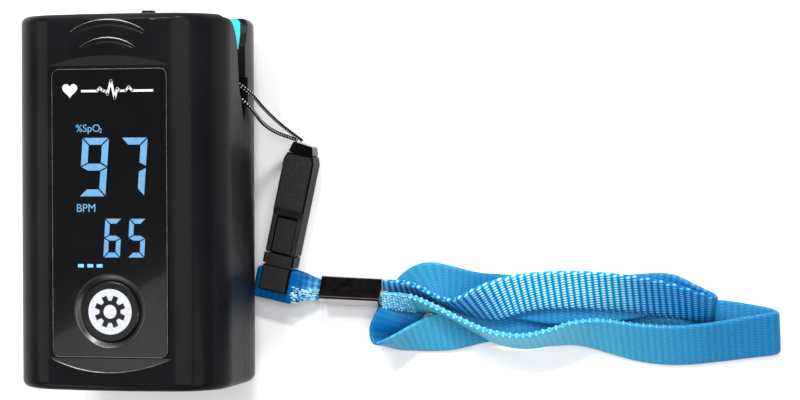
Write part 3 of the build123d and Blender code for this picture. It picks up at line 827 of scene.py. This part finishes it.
def edge_loop_glints():
    """The selvedge's loops, once a rib, as pale beads along the two stretches where they catch the
    light: painted highlights.
    """
    points = []
    faces = []
    for first, last, edge, sides, start, end in GLINT_STRETCHES:
        rows = list(stretch_rows(first, last))
        for step, centre, half, ahead, face in rows[::ROWS_A_RIB]:
            share = (step - rows[0][0]) / len(rows)
            size = (start + (end - start) * share) * MM
            across = half.normalized()
            for side in sides:
                place = centre + half * (edge * 0.985) + face * (side * STRAP_THICK * 0.36 * MM)
                bead(points, faces, place, ahead, across, face, size, 0.65)
    made = mesh_piece("strap_edge_loop_glints", points, faces, PALE_THREAD_AND_GLINT)
    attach(made, "strap_end")


def bar_tack():
    """Where both ends of the band are sewn together beside the crimp: rows of slanted stitches."""
    draw = random.Random(5)
    points = []
    faces = []
    for step, centre, half, ahead, face in stretch_rows(0, 2):
        if step % 3:
            continue
        for k in range(7):
            across = (k - 3) / 3.2 + draw.uniform(-0.06, 0.06)
            lean = (ahead + half.normalized() * draw.choice((-0.7, 0.7))).normalized()
            place = centre + half * across + face * (STRAP_THICK * 0.42 * MM)
            side = face.cross(lean)
            bead(points, faces, place, lean, side, face, draw.uniform(0.16, 0.34) * MM, 0.45)
    made = mesh_piece("strap_bar_tack", points, faces, PALE_THREAD_AND_GLINT)
    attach(made, "strap_end")


edge_loop_glints()
bar_tack()


# ---------------------------------------------------------------- webbing loop

CLASP_AT = Vector((23.2, 9.1, 0.0))
CLASP_TURN = Matrix.Rotation(math.radians(-12.3), 3, "Z")

# The loop's route in the clasp's own XZ plane, from the crimp round the slotted plate and back.
LOOP_ROUTE = [
    (7.3, 1.5), (5.4, 1.1), (3.6, 0.5), (1.0, 0.5), (-1.6, 0.5), (-3.1, 0.6), (-3.6, 1.7),
    (-3.1, 2.75), (-1.6, 2.9), (1.0, 2.9), (3.4, 2.9), (5.4, 2.5), (7.3, 2.2),
]
LOOP_Y = (-26.0, -20.55)
LOOP_HALF_THICK = 0.3
LOOP_PINCH = 0.62     # share of the width that enters the crimp
LOOP_COLUMNS = 16
LOOP_STITCHES = 84


def eased(share):
    """A share held to 0 and 1, with a gentle start and end."""
    held = min(1.0, max(0.0, share))
    return held * held * (3 - 2 * held)


def webbing_loop():
    """The short folded band between the clasp and the crimp, gathered where the crimp holds it."""
    middle = (LOOP_Y[0] + LOOP_Y[1]) / 2
    half_width = (LOOP_Y[1] - LOOP_Y[0]) / 2
    line = spline_points([Vector((x, 0, z)) for x, z in LOOP_ROUTE], 12)
    rows, length = evenly([line], 0.15)
    centres = [row[0] for row in rows]
    rings = []
    places = []
    zones = []
    for step, (centre, ahead) in enumerate(zip(centres, tangents(centres))):
        face = Vector((ahead.z, 0, -ahead.x))
        along = step * length / (len(centres) - 1)
        pinch = eased((centre.x - 2.6) / 4.2)
        fold_in = min(1.0, max(0.0, (-1.8 - centre.x) / 2.0)) ** 2
        half = half_width * (1 - (1 - LOOP_PINCH) * pinch - 0.2 * fold_in)
        ring = []
        rib = 0.5 + 0.5 * math.sin(2 * math.pi * along / RIB_PITCH)
        relief = LOOP_HALF_THICK * (0.84 + 0.16 * rib)
        for side in (1, -1):
            for k in range(LOOP_COLUMNS + 1):
                across = side * (2 * k / LOOP_COLUMNS - 1)
                fold = 0.16 * pinch * math.sin(3.5 * math.pi * across)
                out = relief * (0.5 + 0.5 * selvedge(across, 0.9)) * side
                local = centre + face * (out + fold)
                local.y = middle + half * across + 0.55 * pinch - 0.5 * fold_in
                ring.append((CLASP_TURN @ local + CLASP_AT) * MM)
                places.append((along, across * half_width))
                # painted light: paler where the band is gathered and towards one edge, painted
                # shade elsewhere
                light = 0.95 * pinch * (0.6 - 0.4 * across) - 0.3 * (1 - pinch)
                zones.append((0.1 + 0.6 * pinch, light))
        rings.append(ring)
    points = [p for ring in rings for p in ring]
    band = mesh_piece("webbing_loop_band", points, skin(rings), LOOKS["webbing_blue"])
    write_map(band, "weave", places)
    write_map(band, "zone", zones)
    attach(band, "strap_end")
    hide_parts("webbing_loop")
    loop_stitches(middle, half_width)


def loop_stitches(middle, half_width):
    """The sewing that gathers the two layers between the plate and the crimp."""
    draw = random.Random(11)
    points = []
    faces = []
    up = Vector((0, 0, 1))
    for _ in range(LOOP_STITCHES):
        run = draw.random()
        x = 2.9 + 4.3 * run
        half = half_width * (1 - (1 - LOOP_PINCH) * eased(run))
        across = draw.uniform(-0.95, 0.05)
        height = 3.2 - 0.75 * max(0.0, run - 0.3) / 0.7
        place = Vector((x, middle + half * across + 0.4 * run, height + 0.05))
        ahead = Vector((1, draw.uniform(-0.5, 0.5), -0.12)).normalized()
        side = up.cross(ahead).normalized()
        size = draw.uniform(0.14, 0.36) * MM
        place = (CLASP_TURN @ place + CLASP_AT) * MM
        bead(points, faces, place, CLASP_TURN @ ahead, CLASP_TURN @ side, up, size, 0.4)
    made = mesh_piece("webbing_loop_stitches", points, faces, PALE_THREAD_AND_GLINT)
    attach(made, "strap_end")


webbing_loop()


# ---------------------------------------------------------------- display artwork

WINDOW_LOW, WINDOW_HIGH = (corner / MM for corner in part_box("display_window"))
WINDOW_TOP = WINDOW_HIGH.z
WINDOW_ROUND = 1.2
RIM_RADIUS = 0.07
RIM_INSET = 0.12
PRINT_LOW = WINDOW_TOP + 0.005
PRINT_HIGH = WINDOW_TOP + 0.035


def plates(name, outlines, material):
    """Thin flat plates on the window, one for each outline, all in one piece."""
    points = []
    faces = []
    for outline in outlines:
        first = len(points)
        count = len(outline)
        points += [Vector((x, y, PRINT_LOW)) * MM for x, y in outline]
        points += [Vector((x, y, PRINT_HIGH)) * MM for x, y in outline]
        faces.append(tuple(range(first + count - 1, first - 1, -1)))
        faces.append(tuple(range(first + count, first + 2 * count)))
        for k in range(count):
            after = (k + 1) % count
            faces.append((first + k, first + after, first + count + after, first + count + k))
    made = mesh_piece(name, points, faces, material, smooth=False)
    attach(made, "front_half")


def inset(outline, by):
    """A convex outline, anticlockwise, with every side moved inwards."""
    lines = []
    count = len(outline)
    for k in range(count):
        a = Vector(outline[k])
        b = Vector(outline[(k + 1) % count])
        run = (b - a).normalized()
        lines.append((a + Vector((-run.y, run.x)) * by, run))
    corners = []
    for (p, r), (q, s) in zip([lines[-1], *lines[:-1]], lines):
        share = ((q - p).x * s.y - (q - p).y * s.x) / (r.x * s.y - r.y * s.x)
        corners.append(tuple(p + r * share))
    return corners


LIT_SEGMENTS = {"9": "abcdfg", "7": "abc", "6": "acdefg", "5": "acdfg"}


def digit(figure, left, low, wide, high, stroke, gap, lean):
    """The lit segments of one seven-segment figure, mitred and slightly slanted."""
    middle = high / 2
    half = stroke / 2
    shapes = {
        "a": [(0, high), (stroke, high - stroke), (wide - stroke, high - stroke), (wide, high)],
        "b": [
            (wide, high), (wide - stroke, high - stroke),
            (wide - stroke, middle + half), (wide, middle),
        ],
        "c": [
            (wide, middle), (wide - stroke, middle - half), (wide - stroke, stroke), (wide, 0),
        ],
        "d": [(0, 0), (wide, 0), (wide - stroke, stroke), (stroke, stroke)],
        "e": [(0, 0), (stroke, stroke), (stroke, middle - half), (0, middle)],
        "f": [(0, middle), (stroke, middle + half), (stroke, high - stroke), (0, high)],
        "g": [
            (0, middle), (stroke, middle - half), (wide - stroke, middle - half),
            (wide, middle), (wide - stroke, middle + half), (stroke, middle + half),
        ],
    }
    outlines = []
    for segment in LIT_SEGMENTS[figure]:
        trimmed = inset(shapes[segment], gap / 2)
        outlines.append([(left + x + y * lean, low + y) for x, y in trimmed])
    return outlines


def lettering(name, text, left, low, size, material):
    """Small unit lettering of the display, as a flat mesh on the window."""
    data = bpy.data.curves.new(name, "FONT")
    data.body = text
    data.size = size * MM
    data.extrude = (PRINT_HIGH - PRINT_LOW) / 2 * MM
    text_object = bpy.data.objects.new(name, data)
    read = bpy.data.meshes.new_from_object(text_object)
    bpy.data.objects.remove(text_object)
    bpy.data.curves.remove(data)
    read.transform(Matrix.Translation(Vector((left, low, (PRINT_LOW + PRINT_HIGH) / 2)) * MM))
    read.materials.clear()
    read.materials.append(material)
    made = bpy.data.objects.new(name, read)
    scene.collection.objects.link(made)
    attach(made, "front_half")


def stroke_outlines(line, wide):
    """One plate for each run of a drawn line."""
    outlines = []
    for (ax, ay), (bx, by) in zip(line, line[1:]):
        run = Vector((bx - ax, by - ay))
        side = Vector((-run.y, run.x)).normalized() * wide / 2
        cap = run.normalized() * wide * 0.25
        a = Vector((ax, ay)) - cap
        b = Vector((bx, by)) + cap
        outlines.append([tuple(a - side), tuple(b - side), tuple(b + side), tuple(a + side)])
    return outlines


def heart_outline(centre_x, centre_y, size):
    """The usual heart curve, anticlockwise."""
    outline = []
    for k in range(40):
        turn = -2 * math.pi * k / 40
        x = 16 * math.sin(turn) ** 3
        y = sum(a * math.cos(n * turn) for n, a in enumerate((13, -5, -2, -1), 1))
        outline.append((centre_x + x * size / 34, centre_y + y * size / 34))
    return outline


def display_artwork():
    """The lit reading, its unit names, the signal dashes, and a heart with a pulse line."""
    big = [("9", -5.03), ("7", 1.22)]
    small = [("6", -1.1), ("5", 2.82)]
    for name, figures, size in (
        ("reading_saturation", big, (0.82, 4.5, 9.2, 1.28, 0.22, 0.07)),
        ("reading_pulse", small, (-8.53, 2.85, 6.1, 0.92, 0.18, 0.06)),
    ):
        outlines = [shape for figure, left in figures for shape in digit(figure, left, *size)]
        plates(name, outlines, LIT_BLUE)
    low, high, long = -10.0, -9.5, 0.95
    dashes = [
        [(x, low), (x + long, low), (x + long, high), (x, high)] for x in (-5.14, -3.62, -2.1)
    ]
    plates("signal_dashes", dashes, LIT_CYAN)
    lettering("unit_saturation", "%SpO", -5.4, 10.85, 1.62, LIT_BLUE)
    lettering("unit_saturation_two", "2", -1.62, 10.7, 1.0, LIT_BLUE)
    lettering("unit_pulse", "BPM", -5.4, -1.45, 1.75, LIT_BLUE)
    pulse = [
        (-4.4, 17.1), (-1.9, 17.1), (-1.45, 17.6), (-1.0, 17.1), (-0.5, 17.1), (-0.2, 16.55),
        (0.35, 18.75), (0.95, 15.95), (1.4, 17.5), (1.75, 17.1), (2.7, 17.1), (3.25, 17.7),
        (3.8, 17.1), (7.1, 17.1),
    ]
    title = [heart_outline(-6.35, 17.3, 2.6)] + stroke_outlines(pulse, 0.36)
    plates("title_heart_and_pulse", title, TITLE_WHITE)


display_artwork()


def window_trim(name, rings, material, closed):
    """A surface through rings of points on the window, whose last ring may join the first."""
    around = len(rings[0])
    faces = skin(rings, closed_ends=False)
    if closed:
        low = (len(rings) - 1) * around
        faces += [(low + k, low + (k + 1) % around, (k + 1) % around, k) for k in range(around)]
    made = mesh_piece(name, [p for ring in rings for p in ring], faces, material)
    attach(made, "front_half")


def round_ring(place, out, radius, count=8):
    """Points of one ring of a fine bead, between a level direction and straight up."""
    turns = [2 * math.pi * k / count for k in range(count)]
    around = [out * math.cos(turn) + Vector((0, 0, math.sin(turn))) for turn in turns]
    return [(place + away * radius) * MM for away in around]


def window_rim():
    """A painted highlight along the window's edge: a fine round bead of light grey on all four
    sides.
    """
    middle = (WINDOW_LOW + WINDOW_HIGH) / 2
    reach = (WINDOW_HIGH - WINDOW_LOW) / 2
    rings = []
    steps = 12
    for corner, (sx, sy) in enumerate(((1, 1), (-1, 1), (-1, -1), (1, -1))):
        for k in range(steps + 1):
            turn = math.pi / 2 * (corner + k / steps)
            out = Vector((math.cos(turn), math.sin(turn), 0))
            hub_x = middle.x + sx * (reach.x - WINDOW_ROUND)
            hub_y = middle.y + sy * (reach.y - WINDOW_ROUND)
            place = Vector((hub_x, hub_y, WINDOW_TOP)) + out * (WINDOW_ROUND - RIM_INSET)
            rings.append(round_ring(place, out, RIM_RADIUS))
    window_trim("window_edge_highlight", rings, EDGE_HIGHLIGHT_PAINT, True)


def button_ring():
    """The soft slope from the window down to the power button."""
    button_y = (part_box("power_button")[0].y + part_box("power_button")[1].y) / 2 / MM
    profile = [
        (4.8, -0.5), (5.0, -0.37), (5.2, -0.23), (5.4, -0.09),
        (5.55, 0.015), (5.68, 0.03), (5.8, 0.0),
    ]
    around = 96
    rings = []
    for radius, height in profile:
        ring = []
        for k in range(around):
            turn = 2 * math.pi * k / around
            x, y = radius * math.cos(turn), radius * math.sin(turn)
            ring.append(Vector((x, button_y + y, WINDOW_TOP + height)) * MM)
        rings.append(ring)
    window_trim("button_recess_ring", rings, RING_SATIN, False)


CROWN_RADIUS = 56.0
CROWN_PEAK = 32.0
# The two grip grooves: radius and middle of the ring scooped out, its section, and the floor.
GROOVES = [(13.2, 14.2, 0.7, 31.65), (9.0, 15.8, 0.6, 31.81)]
CREST_RADIUS = 0.075
CREST_LEAST = 0.012
SLOPE_RISE = 0.41     # of the lower slope beside the window, for each millimetre towards -Y


def crown_height(x):
    return CROWN_PEAK - CROWN_RADIUS + math.sqrt(CROWN_RADIUS ** 2 - x * x)


def groove_edge(radius, middle_y, section, floor):
    """The outer edge of a grip groove, where it meets the crown, from left to right."""
    reach = math.sqrt(CROWN_RADIUS ** 2 - (floor - CROWN_PEAK + CROWN_RADIUS) ** 2) * 0.96
    line = []
    for k in range(49):
        x = reach * (k / 24 - 1)
        height = crown_height(x)
        wide = math.sqrt(section ** 2 - (floor + section - height) ** 2)
        line.append(Vector((x, middle_y + math.sqrt((radius + wide) ** 2 - x * x), height)))
    return line


def slope_edge():
    """The edge of the lower slope beside the window, where it meets the crown, from the right."""
    line = []
    for k in range(49):
        x = WINDOW_HIGH.x * (1 - k / 24)
        height = crown_height(x)
        line.append(Vector((x, WINDOW_LOW.y - (height - WINDOW_TOP) / SLOPE_RISE, height)))
    return line


def crest_highlights():
    """Fine light-grey beads along the moulded edges, as painted highlights; a bias over 1 has them
    widest past the middle.
    """
    points = []
    faces = []
    edges = [(groove_edge(*groove), 1.45) for groove in GROOVES] + [(slope_edge(), 2.6)]
    for line, bias in edges:
        rings = []
        for k, (place, ahead) in enumerate(zip(line, tangents(line))):
            share = (k / (len(line) - 1)) ** bias
            radius = max(CREST_LEAST, CREST_RADIUS * math.sin(math.pi * share))
            side = ahead.cross(Vector((0, 0, 1))).normalized()
            rings.append(round_ring(place, side, radius))
        first = len(points)
        faces += [tuple(first + corner for corner in face) for face in skin(rings)]
        points += [p for ring in rings for p in ring]
    made = mesh_piece("crest_highlights", points, faces, CREST_HIGHLIGHT_PAINT)
    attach(made, "front_half")


window_rim()
button_ring()
crest_highlights()


# ---------------------------------------------------------------- studio


def area_light(name, place, aim, width, height, power):
    data = bpy.data.lights.new(name, "AREA")
    data.shape = "RECTANGLE"
    data.size = width
    data.size_y = height
    data.energy = power
    light = bpy.data.objects.new(name, data)
    scene.collection.objects.link(light)
    light.location = place
    light.rotation_mode = "QUATERNION"
    light.rotation_quaternion = (Vector(aim) - Vector(place)).to_track_quat("-Z", "Y")


def studio():
    middle = (0.045, -0.003, 0.0)
    area_light("key_above", (0.34, 0.08, 0.76), middle, 0.5, 0.5, 3.8)
    area_light("left_soft", (-0.62, 0.05, 0.42), middle, 0.4, 0.3, 1.7)
    area_light("front_soft", (-0.34, -0.52, 0.36), middle, 0.4, 0.25, 2.2)
    area_light("right_soft", (0.66, -0.25, 0.45), middle, 0.4, 0.3, 1.6)
    area_light("back_soft", (0.16, 0.56, 0.48), middle, 0.12, 0.07, 3.6)
    # small cards that the window, the slope under it, the grip grooves and the ring mirror
    area_light("window_card", (-0.22, -0.17, 0.60), (0.0, -0.03, 0.03), 0.2, 0.2, 0.1)
    area_light("facet_card", (-0.096, 0.26, 0.34), (0.0, -0.026, 0.032), 0.16, 0.1, 0.9)
    area_light("groove_glint", (-0.02, 0.26, 0.356), (0.0, 0.025, 0.032), 0.026, 0.018, 0.4)
    area_light("ring_card", (-0.07, 0.26, 0.09), (0.0, -0.017, 0.031), 0.2, 0.12, 0.35)
    world = bpy.data.worlds.new("studio")
    world.use_nodes = True
    background = world.node_tree.nodes["Background"].inputs
    background["Color"].default_value = (0.9, 0.95, 1.0, 1)
    background["Strength"].default_value = 0.03
    scene.world = world
    floor_z = cad_box[0].z - 0.02 * MM
    reach = 3.0
    corners = [(x * reach, y * reach, floor_z) for x, y in ((-1, -1), (1, -1), (1, 1), (-1, 1))]
    pale = Shader("floor_pale", srgb(240, 240, 241), roughness=0.8)
    pale.tint(pale.noise(30, 2), [(0.3, srgb(238, 238, 239)), (0.7, srgb(242, 242, 243))])
    floor = mesh_piece("floor", corners, [(0, 1, 2, 3)], pale.material, smooth=False)


studio()
